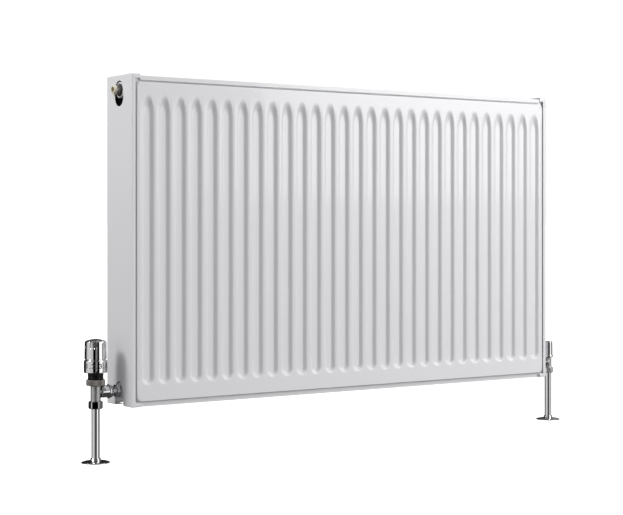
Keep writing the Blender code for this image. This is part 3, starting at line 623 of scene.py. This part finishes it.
def wrapped_text(name, text, at, radius, z, heading, size, body, finish=INK):
    """Figures standing slightly proud of a cylinder, read from outside."""
    curve = bpy.data.curves.new(name, "FONT")
    curve.body = text
    curve.size = size * MM
    curve.align_x = "CENTER"
    curve.align_y = "CENTER"
    curve.extrude = 0.12 * MM
    curve.offset = 0.28 * MM
    curve.resolution_u = 4
    flat = bpy.data.objects.new(name + "_flat", curve)
    bpy.context.collection.objects.link(flat)
    mesh = bpy.data.meshes.new_from_object(flat.evaluated_get(bpy.context.evaluated_depsgraph_get()))
    bpy.data.objects.remove(flat)
    for v in mesh.vertices:
        turn = heading + v.co.x / (radius * MM)
        r = radius * MM + v.co.z
        v.co = Vector((at.x + r * math.cos(turn), at.y + r * math.sin(turn), z * MM + v.co.y))
    made = new_object(name, mesh, finish, 30)
    return takes_place(made, body, "black_plastic")


def ring_mark(name, at, radius, z, heading, width, height, body):
    """A short raised bar bent round a cylinder."""
    bm = bmesh.new()
    count = max(2, int(width / 0.6))
    columns = []
    for i in range(count + 1):
        turn = heading + (i / count - 0.5) * width / radius
        column = []
        for r, dz in ((radius - 0.1, -1), (radius + 0.12, -1), (radius + 0.12, 1), (radius - 0.1, 1)):
            place = (at.x + r * MM * math.cos(turn), at.y + r * MM * math.sin(turn),
                     (z + dz * height / 2) * MM)
            column.append(bm.verts.new(place))
        columns.append(column)
    for a, b in zip(columns, columns[1:]):
        for k in range(4):
            m = (k + 1) % 4
            bm.faces.new((a[k], a[m], b[m], b[k]))
    bm.faces.new(columns[0])
    bm.faces.new(columns[-1])
    made = new_object(name, mesh_of(bm, name), INK, 30)
    return takes_place(made, body, "black_plastic")


def build_pointer(at):
    """Upright triangular mark standing on the head's black ring, in front of the knob's skirt."""
    bm = bmesh.new()
    outline = [(-3.3, 159.0), (3.3, 159.0), (3.3, 161.2), (0.45, 167.0), (-0.45, 167.0),
               (-3.3, 161.2)]
    faces = []
    for r in (21.55, 22.15):
        faces.append([bm.verts.new((r * MM, y * MM, z * MM)) for y, z in outline])
    bm.faces.new(faces[0])
    bm.faces.new(faces[1])
    for i in range(len(outline)):
        j = (i + 1) % len(outline)
        bm.faces.new((faces[0][i], faces[0][j], faces[1][j], faces[1][i]))
    bm.transform(Matrix.Translation(at) @ Matrix.Rotation(POINTER, 4, "Z"))
    mark = new_object("trv_pointer", mesh_of(bm, "trv_pointer"), BLACK)
    soft_edges(mark, 0.15 * MM)
    takes_place(mark, "radiator", "black_plastic")
    bm = bmesh.new()
    size = Vector((9.4, 6.6, 2.2)) * MM
    place = Matrix.Translation(Vector((17.2, 0, 160.1)) * MM) @ Matrix.Diagonal((*size, 1))
    bmesh.ops.create_cube(bm, size=1, matrix=place)
    bm.transform(Matrix.Translation(at) @ Matrix.Rotation(POINTER, 4, "Z"))
    arm = new_object("trv_pointer_arm", mesh_of(bm, "trv_pointer_arm"), BLACK)
    soft_edges(arm, 0.25 * MM)
    takes_place(arm, "radiator", "black_plastic")


def build_trv():
    at = LEFT_AXIS
    outer = [(0, 100.8), (8.6, 100.8), (8.6, 111.0), (9.2, 111.8), (9.2, 137.4), (9.6, 138.6),
             (13.0, 139.6), (14.0, 140.6), (14.0, 146.6), (0, 146.6)]
    inside = [(0, 100), (7.8, 100), (7.8, 112.0), (6.0, 112.0), (6.0, 118), (3.8, 118.4),
              (3.8, 120.2), (6.0, 120.4), (6.0, 148), (0, 148)]
    branch_body("trv_body", outer, at, X_RIGHT, inside)
    compression_nut("trv", at, 23.2, 13.0, 13.7)
    union("trv", at, X_RIGHT)
    collar = [(16.0, 139.0), (16.7, 139.7), (16.8, 140.6), (16.8, 148.2), (16.5, 149.2),
              (15.8, 149.6), (12.5, 149.6), (12.5, 147.9), (14.4, 147.6), (14.4, 139.0)]
    turned_part("trv_collar_nut", collar, at, segments=360, edge=0.2, shape=knurl)
    base = [(14.0, 146.9), (14.0, 147.4), (12.1, 147.6), (12.1, 150.0), (14.1, 150.0),
            (14.1, 154.2), (13.4, 155.2), (14.1, 156.2), (14.1, 160.4), (12.0, 161.2),
            (12.0, 199.0), (10.6, 199.0), (10.6, 152.8), (4.8, 152.8), (4.8, 146.9)]
    turned_part("trv_head_base", base, at, edge=0.4)
    build_pointer(at)
    skirt = [(19.6, 162.2), (20.7, 162.2), (21.2, 163.2), (21.1, 183.4), (20.8, 184.1)]
    groove = [(18.4, 184.5), (18.4, 186.2)]
    barrel = [(20.0, 186.6), (20.0, 187.6), (19.9, 195), (19.8, 203), (19.75, 206), (19.7, 208.6),
              (19.65, 214), (19.5, 216.8)]
    crown = [(19.0, 218.2), (17.6, 219.4), (13.5, 220.6), (10.8, 221.0), (10.2, 221.6),
             (6.0, 222.4), (0, 222.7)]
    hollow = [(0, 217.0), (12.5, 217.0), (12.5, 171.0), (19.0, 169.0)]
    turned_part("trv_head_knob", skirt + groove + barrel + crown + hollow, at, body="trv_head",
                segments=288, edge=0.5, shape=grip)
    for i, figure in enumerate("012345"):
        heading = POINTER + DIAL_TURN + math.radians((i - 3) * DIAL_STEP)
        wrapped_text(f"trv_figure_{figure}", figure, at, DIAL_RADIUS, FIGURE_HEIGHT, heading,
                     FIGURE_SIZE, "trv_head")
    for i in range(5):
        heading = POINTER + DIAL_TURN + math.radians((i - 2.5) * DIAL_STEP)
        ring_mark(f"trv_scale_mark_{i + 1}", at, DIAL_RADIUS, MARK_HEIGHT, heading, 3.4, 0.9,
                  "trv_head")
    ring_mark("trv_scale_dot", at, DIAL_RADIUS, MARK_HEIGHT, POINTER - math.radians(24), 0.9, 0.9,
              "trv_head")
    pipe_and_plate("left", at)


def build_lockshield():
    at = RIGHT_AXIS
    outer = [(0, 106.8), (8.5, 106.8), (8.5, 115.0), (7.7, 115.8), (7.7, 135.2), (7.2, 136.0),
             (0, 136.0)]
    inside = [(0, 105), (7.8, 105), (7.8, 114.0), (6.0, 114.0), (6.0, 118), (3.8, 118.4),
              (3.8, 120.2), (6.0, 120.4), (6.0, 132), (4.4, 132), (4.4, 137), (0, 137)]
    branch_body("lockshield_body", outer, at, X_LEFT, inside)
    compression_nut("lockshield", at, 19.8, 10.8, 11.9)
    union("lockshield", at, X_LEFT)
    cap = [(10.3, 136.9), (10.8, 137.6), (10.8, 139.6), (10.3, 141.4), (10.0, 144.0), (9.8, 169.0),
           (9.4, 170.4), (8.4, 171.1), (4.0, 171.35), (0, 171.4), (0, 162.0), (3.6, 162.0),
           (3.6, 147.4), (8.7, 146.6), (8.7, 136.9)]
    turned_part("lockshield_cap", cap, at, body="ls_cap", edge=0.4)
    pipe_and_plate("right", at)


# ---------------------------------------------------------------- air vent and blanking plug
SEAL = 0.3 * MM             # how far a plug's shoulder lies past its seal's face
PLUG_BODY = [(9.7, -11), (9.7, 1.5), (11.3, 1.5), (10.9, 2.1)]
PLUG_BODY += hexagon(18, 10.1, 2.2, 8.0, 1.0) + [(8.6, 8.2)]


def build_vent():
    x_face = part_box("vent_plug_seal")[1][0] + SEAL
    at = Vector((x_face, Y_MID, Z_VENT))
    neck = [(5.2, 8.2), (5.2, 11.4), (3.3, 11.4)]
    turned_part("vent_plug", [(3.3, -11)] + PLUG_BODY + neck, at, X_LEFT)
    nozzle = [(7.9, 8.5), (8.5, 9.1), (8.5, 10.8), (7.6, 11.4), (7.6, 14.1), (7.1, 14.7),
              (5.6, 14.7), (5.6, 8.5)]
    vent = turned("vent_nozzle_fine", nozzle, IVORY, at, X_LEFT, 64, 0.3)
    tube = [(2.2, 6.6), (2.2, 12.0), (1.0, 12.0), (1.0, 6.6)]
    spout_at = at + X_LEFT * 11.6 * MM
    combine(vent, turned("spout", tube, IVORY, spout_at, -UP, 32, 0.15), "UNION")
    even_normals(vent)
    takes_place(vent, "vent_nozzle", "ivory_plastic", "vent_nozzle")
    screw = [(0, 4), (2.9, 4), (2.9, 11.6), (4.6, 11.7), (4.6, 12.4), (2.6, 12.4), (2.6, 13.0),
             (0, 13.0)]
    turned_part("vent_bleed_screw", screw, at, X_LEFT, "bleed_screw", segments=48, edge=0.2)
    x_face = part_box("blanking_plug_seal")[0][0] - SEAL
    at = Vector((x_face, Y_MID, Z_VENT))
    recess = [(0, 2), (6, 2), (6, -11)]
    turned_part("blanking_plug", recess + PLUG_BODY + [(0, 8.2)], at, X_RIGHT)


# ---------------------------------------------------------------- pieces that keep their solids
def soften_frame_nodes():
    """Softer edges on the folded and moulded pieces that are shown as they are in the frame."""
    widths = {"top_grille": 0.3, "front_convector": 0.15, "rear_convector": 0.15,
              "grille_clip_left": 0.2, "grille_clip_right": 0.2}
    for node_name, node in frame["nodes"].items():
        if node_name.startswith(("wall_bracket", "hanging_lug", "bracket_insert")):
            soft_edges(node, 0.35 * MM)
        elif node_name in widths:
            soft_edges(node, widths[node_name] * MM, 1 if "convector" in node_name else 2)


build_sheets()
build_cover("side_cover_left", "left_cover", -1)
build_cover("side_cover_right", "right_cover", 1)
build_trv()
build_lockshield()
build_vent()
soften_frame_nodes()


# ---------------------------------------------------------------- floor
FLOOR_SIZE = 400
FLOOR_GLOW = 0.92


def build_floor():
    """A pale floor that only shows: the room below lights the object in its place."""
    bpy.ops.mesh.primitive_plane_add(size=FLOOR_SIZE, location=(0, 0, 0))
    floor = bpy.context.object
    floor.name = "floor"
    finish = principled("floor_white", (0.60, 0.60, 0.60), 0.9)
    shader = finish.node_tree.nodes["Principled BSDF"]
    shader.inputs["Emission Color"].default_value = (1, 1, 1, 1)
    shader.inputs["Emission Strength"].default_value = FLOOR_GLOW
    floor.data.materials.append(uneven(finish, 2, 0.85, 0.95))
    floor.visible_diffuse = False
    floor.visible_glossy = False
    floor.visible_shadow = False


# ---------------------------------------------------------------- light
def area_light(name, azimuth, distance, height, size, power, aim):
    """A softbox. Azimuth 0 is straight in front, 90 on the right."""
    a = math.radians(azimuth)
    place = Vector((math.sin(a) * distance, -math.cos(a) * distance, height))
    data = bpy.data.lights.new(name, "AREA")
    data.shape = "RECTANGLE"
    data.size, data.size_y = size
    data.energy = power
    made = bpy.data.objects.new(name, data)
    bpy.context.collection.objects.link(made)
    made.location = place
    made.rotation_euler = (Vector(aim) - place).to_track_quat("-Z", "Y").to_euler()
    return made


# Brightness round the room, as (azimuth in degrees, grey): what lights the paint
ROOM = [(-180, 0.25), (-126, 0.25), (-120, 0.60), (-66, 0.60), (-60, 0.10), (-34, 0.08), (-31, 0.28),
        (-7, 0.28), (-4, 0.04), (5, 0.04), (8, 1.3), (37, 1.3), (42, 0.42), (130, 0.42), (180, 0.25)]
# and what polished metal mirrors: softboxes with black cloth between them
MIRRORED = [(-180, 0.02), (-136, 0.03), (-128, 0.60), (-100, 0.80), (-54, 0.60), (-50, 0.0),
            (-28, 0.0), (-26, 0.20), (-10, 0.26), (-7, 0.0), (11, 0.0), (14, 1.3), (42, 1.3),
            (47, 0.20), (90, 0.14), (134, 0.26), (142, 0.02), (180, 0.02)]
CEILING, GROUND = 0.90, 0.14
MIRRORED_CEILING, MIRRORED_GROUND = 0.16, 0.06
CEILING_FROM, CEILING_FULL = 0.45, 0.75         # heights on a unit sphere
GROUND_FULL, GROUND_TO = -0.55, -0.30
BACKDROP = 1.05


def build_world():
    """A white backdrop for the camera, and a room of soft light round the object."""
    world = bpy.data.worlds.new("studio")
    bpy.context.scene.world = world
    world.use_nodes = True
    nodes, links = world.node_tree.nodes, world.node_tree.links
    nodes.clear()
    place = nodes.new("ShaderNodeTexCoord")
    parts = nodes.new("ShaderNodeSeparateXYZ")
    links.new(place.outputs["Generated"], parts.inputs[0])
    x, y, z = parts.outputs

    def math_node(operation, *values):
        made = nodes.new("ShaderNodeMath")
        made.operation = operation
        for k, value in enumerate(values):
            if isinstance(value, (int, float)):
                made.inputs[k].default_value = value
            else:
                links.new(value, made.inputs[k])
        return made.outputs[0]

    turn = math_node("ARCTAN2", x, math_node("MULTIPLY", y, -1.0))
    round_room = math_node("MULTIPLY_ADD", turn, 0.5 / math.pi, 0.5)

    def level(low, high):
        made = nodes.new("ShaderNodeMapRange")
        made.interpolation_type = "SMOOTHSTEP"
        made.inputs["From Min"].default_value = low
        made.inputs["From Max"].default_value = high
        links.new(z, made.inputs["Value"])
        return made.outputs["Result"]

    def blend(factor, a, b):
        made = nodes.new("ShaderNodeMix")
        made.data_type = "RGBA"
        links.new(factor, made.inputs["Factor"])
        for value, socket in ((a, made.inputs[6]), (b, made.inputs[7])):
            if isinstance(value, float):
                socket.default_value = (value, value, value, 1)
            else:
                links.new(value, socket)
        return made.outputs[2]

    def room(bands, ceiling, ground):
        ramp = nodes.new("ShaderNodeValToRGB")
        stops = ramp.color_ramp.elements
        while len(stops) < len(bands):
            stops.new(0.5)
        for stop, (azimuth, grey) in zip(stops, bands):
            stop.position = (azimuth + 180) / 360
            stop.color = (grey, grey, grey, 1)
        links.new(round_room, ramp.inputs["Fac"])
        upper = blend(level(CEILING_FROM, CEILING_FULL), ramp.outputs["Color"], ceiling)
        shade = blend(level(GROUND_FULL, GROUND_TO), ground, upper)
        made = nodes.new("ShaderNodeBackground")
        links.new(shade, made.inputs["Color"])
        return made.outputs["Background"]

    def choose(factor, a, b):
        made = nodes.new("ShaderNodeMixShader")
        for k, value in enumerate((factor, a, b)):
            links.new(value, made.inputs[k])
        return made.outputs["Shader"]

    seen = nodes.new("ShaderNodeBackground")
    seen.inputs["Color"].default_value = (1, 1, 1, 1)
    seen.inputs["Strength"].default_value = BACKDROP
    path = nodes.new("ShaderNodeLightPath")
    lit = choose(path.outputs["Is Glossy Ray"], room(ROOM, CEILING, GROUND),
                 room(MIRRORED, MIRRORED_CEILING, MIRRORED_GROUND))
    out = nodes.new("ShaderNodeOutputWorld")
    shown = choose(path.outputs["Is Camera Ray"], lit, seen.outputs["Background"])
    links.new(shown, out.inputs["Surface"])


def build_light():
    area_light("key_right_front", 40, 2.0, 1.3, (1.0, 1.8), 21, (0.6, -0.1, 0.4))
    area_light("fill_left", -95, 1.9, 1.3, (0.5, 0.6), 13, (-0.5, -0.1, 0.6))
    build_world()


# ---------------------------------------------------------------- camera
CAMERA_AT = (-1.7845, -2.5956, 0.4317)
CAMERA_AZIMUTH = -34.17
CAMERA_LENS = 89.13
CAMERA_SHIFT = -0.0558      # upright lines stay parallel, with the horizon above the middle


def build_camera():
    a = math.radians(CAMERA_AZIMUTH)
    data = bpy.data.cameras.new("camera")
    data.lens = CAMERA_LENS
    data.sensor_width = 36
    data.shift_y = CAMERA_SHIFT
    camera = bpy.data.objects.new("camera", data)
    bpy.context.collection.objects.link(camera)
    camera.location = CAMERA_AT
    camera.rotation_euler = (math.pi / 2, 0, a)
    bpy.context.scene.camera = camera


build_floor()
build_light()
build_camera()
bpy.context.scene.view_settings.view_transform = "Standard"
